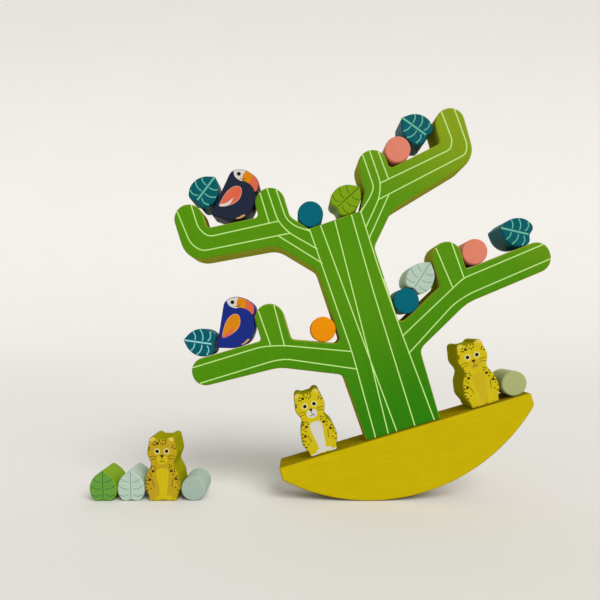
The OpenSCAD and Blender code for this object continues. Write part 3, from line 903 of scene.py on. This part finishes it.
class AddToucans(bpy.types.Operator):
    """Adds the navy and the blue toucan"""
    bl_idname = "balance_tree.toucans"
    bl_label = "Toucans"

    def execute(self, context):
        paint, size = context.scene.tree_paints, context.scene.tree_sizes
        inks = [coat(screen_ink, hue + "_ink", getattr(paint, hue)) for hue in TOUCAN_INKS]
        for node, (tilt, hue, wing, crescent) in TOUCANS.items():
            body = coat(satin_paint, hue + "_satin_paint", getattr(paint, hue))
            outline, place = shaped(TOUCAN, node, tilt, 1, True)
            add_slab(node, outline, place, size.wood_edge, [body] + inks,
                     toucan_prints(size, wing, crescent))
        return {"FINISHED"}


# A leaf's outline with its tip to the right, with the radius of each corner, in mm
LEAF = [(13.1, 0, 2), (6.4, 9.4, 15), (-4.7, 11.9, 13), (-13.3, 6.6, 4.5), (-11, 0, 4), (-13.3, -6.6, 4.5),
        (-4.7, -11.9, 13), (6.4, -9.4, 15)]

# Leaf prints, in mm from the middle of the leaf, with the tip to the right
MIDRIB = [(-9.4, 0), (11.6, 0)]
# The middle, radius, and first and last angle of each vein above the midrib
VEINS = [((10, 2.4), 6.6, 186, 119), ((5.5, 3.4), 8, 191, 125), ((-3.4, 5.7), 4.9, 226, 144)]

# Each leaf's turn in degrees, whether it leans with the tree, the colours of its face and veins,
# and the paint of its node
LEAVES = {
    "leaf_teal_upper_left": (35, 1, "teal", "teal", "teal_paint"),
    "leaf_teal_upper_right": (128, 1, "teal", "teal", "teal_paint"),
    "leaf_teal_lower_left": (155, 1, "teal", "pale", "teal_paint"),
    "leaf_teal_lower_right": (150, 1, "teal", "teal", "teal_paint"),
    "leaf_green_trunk": (25, 1, "olive", "olive", "leaf_green_paint"),
    "leaf_mint_branch": (41, 1, "mint", "mint", "mint_paint"),
    "leaf_green_loose": (90, 0, "green", "green", "leaf_green_paint"),
    "leaf_mint_loose": (90, 0, "mint", "mint", "mint_paint"),
}


class AddLeaves(bpy.types.Operator):
    """Adds the eight leaves with their printed veins"""
    bl_idname = "balance_tree.leaves"
    bl_label = "Leaves"

    def execute(self, context):
        paint, size = context.scene.tree_paints, context.scene.tree_sizes
        lines = [[Vector((p.x, side * p.y)) for p in arc(*vein, 10)] for vein in VEINS for side in (1, -1)]
        olive = coat(satin_paint, "olive_leaf_satin_paint", paint.olive_leaf)
        for node, (turn, leans, hue, vein, slot) in LEAVES.items():
            thin, thick = (size.teal_vein, size.teal_rib) if hue == "teal" else (size.vein, size.rib)
            prints = [(1, stroke(points(MIDRIB), thick / MM))]
            prints += [(1, stroke(line, thin / MM)) for line in lines]
            paints = [coat(satin_paint, hue + "_leaf_satin_paint", getattr(paint, hue + "_leaf")),
                      coat(screen_ink, vein + "_vein_ink", getattr(paint, vein + "_vein"))]
            side = 0
            if hue == "green":
                paints.append(olive)
                side = 2
            outline, place = shaped(LEAF, node, turn, leans, False)
            add_slab(node, outline, place, size.wood_edge, paints, prints, side)
        return {"FINISHED"}


# Each peg's colour, whether it leans with the tree, and the paint of its node
PEGS = {
    "peg_teal_trunk": ("teal", 1, "teal_paint"),
    "peg_teal_branch": ("teal", 1, "teal_paint"),
    "peg_pink_upper": ("pink", 1, "pink_paint"),
    "peg_pink_lower": ("pink", 1, "pink_paint"),
    "peg_orange": ("orange", 1, "orange_paint"),
    # This mint peg takes a yellowed mint, a painted reflection of the yellow rocker
    "peg_mint_base": ("sage", 1, "mint_paint"),
    "peg_mint_loose": ("mint", 0, "mint_paint"),
}


class AddPegs(bpy.types.Operator):
    """Adds the seven round pegs, cut from rod"""
    bl_idname = "balance_tree.pegs"
    bl_label = "Pegs"

    def execute(self, context):
        paint, size = context.scene.tree_paints, context.scene.tree_sizes
        for node, (hue, leans, slot) in PEGS.items():
            low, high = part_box(node)
            middle = (low + high) / 2
            outline = circle(0, (high.x - low.x) / 2 / MM, 96)
            place = Matrix.Translation(middle) @ Matrix.Rotation(-leans * LEAN, 4, "Y")
            peg = coat(peg_paint, hue + "_peg_satin_paint", getattr(paint, hue + "_peg"))
            add_slab(node, outline, place, size.wood_edge, [peg])
        return {"FINISHED"}


# Stage, in metres

# The floor's front, how far back it lies flat, the radius of its sweep, half its width, and its height
FLOOR_FRONT = -6
FLOOR_REACH = 0.9
SWEEP = 2.6
HALF_WIDTH = 14
BACKDROP_HEIGHT = 4.5
SWEEP_STEPS = 24
# The way that the key light shines
KEY_WAY = (-0.55, 0.85, -0.9)
# Where the camera stands, its turn in degrees from looking level to the back, and its lens
CAMERA_AT = (-0.0564, -0.3981, 0.1356)
CAMERA_TURN = (-3.47, 0.4, 0.51)
SENSOR_MM = 36
LENS_SHIFT = (0.011, 0.1025)


class AddStage(bpy.types.Operator):
    """Adds the pale floor that sweeps up behind, the soft lights and the camera"""
    bl_idname = "balance_tree.stage"
    bl_label = "Stage"

    def execute(self, context):
        scene = context.scene
        stage = scene.tree_stage
        profile = [Vector((FLOOR_FRONT, 0))]
        profile += arc((FLOOR_REACH, SWEEP), SWEEP, -90, 0, SWEEP_STEPS)
        profile.append(Vector((FLOOR_REACH + SWEEP, BACKDROP_HEIGHT)))
        verts = [(x, p.x, p.y) for p in profile for x in (-HALF_WIDTH, HALF_WIDTH)]
        faces = [(2 * i, 2 * i + 1, 2 * i + 3, 2 * i + 2) for i in range(len(profile) - 1)]
        mesh = bpy.data.meshes.new("floor_paper")
        mesh.from_pydata(verts, [], faces)
        mesh.polygons.foreach_set("use_smooth", [True] * len(faces))
        mesh.materials.append(coat(studio_paper, "studio_paper", stage.floor))
        floor = bpy.data.objects.new("floor_paper", mesh)
        scene.collection.objects.link(floor)

        light = bpy.data.lights.new("key_light", "SUN")
        light.energy = stage.key
        light.angle = stage.spread
        key = bpy.data.objects.new("key_light", light)
        key.rotation_euler = Vector(KEY_WAY).to_track_quat("-Z", "Y").to_euler()
        scene.collection.objects.link(key)
        world = bpy.data.worlds.new("even_light")
        world.use_nodes = True
        sky = world.node_tree.nodes["Background"]
        sky.inputs["Color"].default_value = (1, 1, 1, 1)
        sky.inputs["Strength"].default_value = stage.world
        scene.world = world
        scene.view_settings.view_transform = "Standard"

        lens = bpy.data.cameras.new("camera")
        lens.lens = stage.lens
        lens.sensor_width = SENSOR_MM
        lens.shift_x, lens.shift_y = LENS_SHIFT
        camera = bpy.data.objects.new("camera", lens)
        turn = Euler([math.radians(a) for a in CAMERA_TURN]).to_matrix().to_4x4()
        level = Matrix.Rotation(math.pi / 2, 4, "X")
        camera.matrix_world = Matrix.Translation(CAMERA_AT) @ turn @ level
        scene.collection.objects.link(camera)
        scene.camera = camera
        return {"FINISHED"}


class TreePanel(bpy.types.Panel):
    """Lists the pieces and their settings"""
    bl_idname = "VIEW3D_PT_balance_tree"
    bl_label = "Balance Tree"
    bl_space_type = "VIEW_3D"
    bl_region_type = "UI"
    bl_category = "Balance Tree"

    def draw(self, context):
        for step in STEPS:
            self.layout.operator(step.bl_idname)
        for group in (context.scene.tree_paints, context.scene.tree_sizes, context.scene.tree_stage):
            box = self.layout.box()
            for name in group.__annotations__:
                box.prop(group, name)


STEPS = (AddRocker, AddTree, AddLeopards, AddToucans, AddLeaves, AddPegs, AddStage)
GROUPS = {"tree_paints": PaintSettings, "tree_sizes": SizeSettings, "tree_stage": StageSettings}


def register():
    for cls in (*GROUPS.values(), *STEPS, TreePanel):
        bpy.utils.register_class(cls)
    for name, group in GROUPS.items():
        setattr(bpy.types.Scene, name, PointerProperty(type=group))


def unregister():
    for name in GROUPS:
        delattr(bpy.types.Scene, name)
    for cls in (TreePanel, *reversed(STEPS), *GROUPS.values()):
        bpy.utils.unregister_class(cls)


def main():
    register()
    bpy.ops.balance_tree.rocker()
    bpy.ops.balance_tree.tree()
    bpy.ops.balance_tree.leopards()
    bpy.ops.balance_tree.toucans()
    bpy.ops.balance_tree.leaves()
    bpy.ops.balance_tree.pegs()
    bpy.ops.balance_tree.stage()


if __name__ == "__main__":
    main()
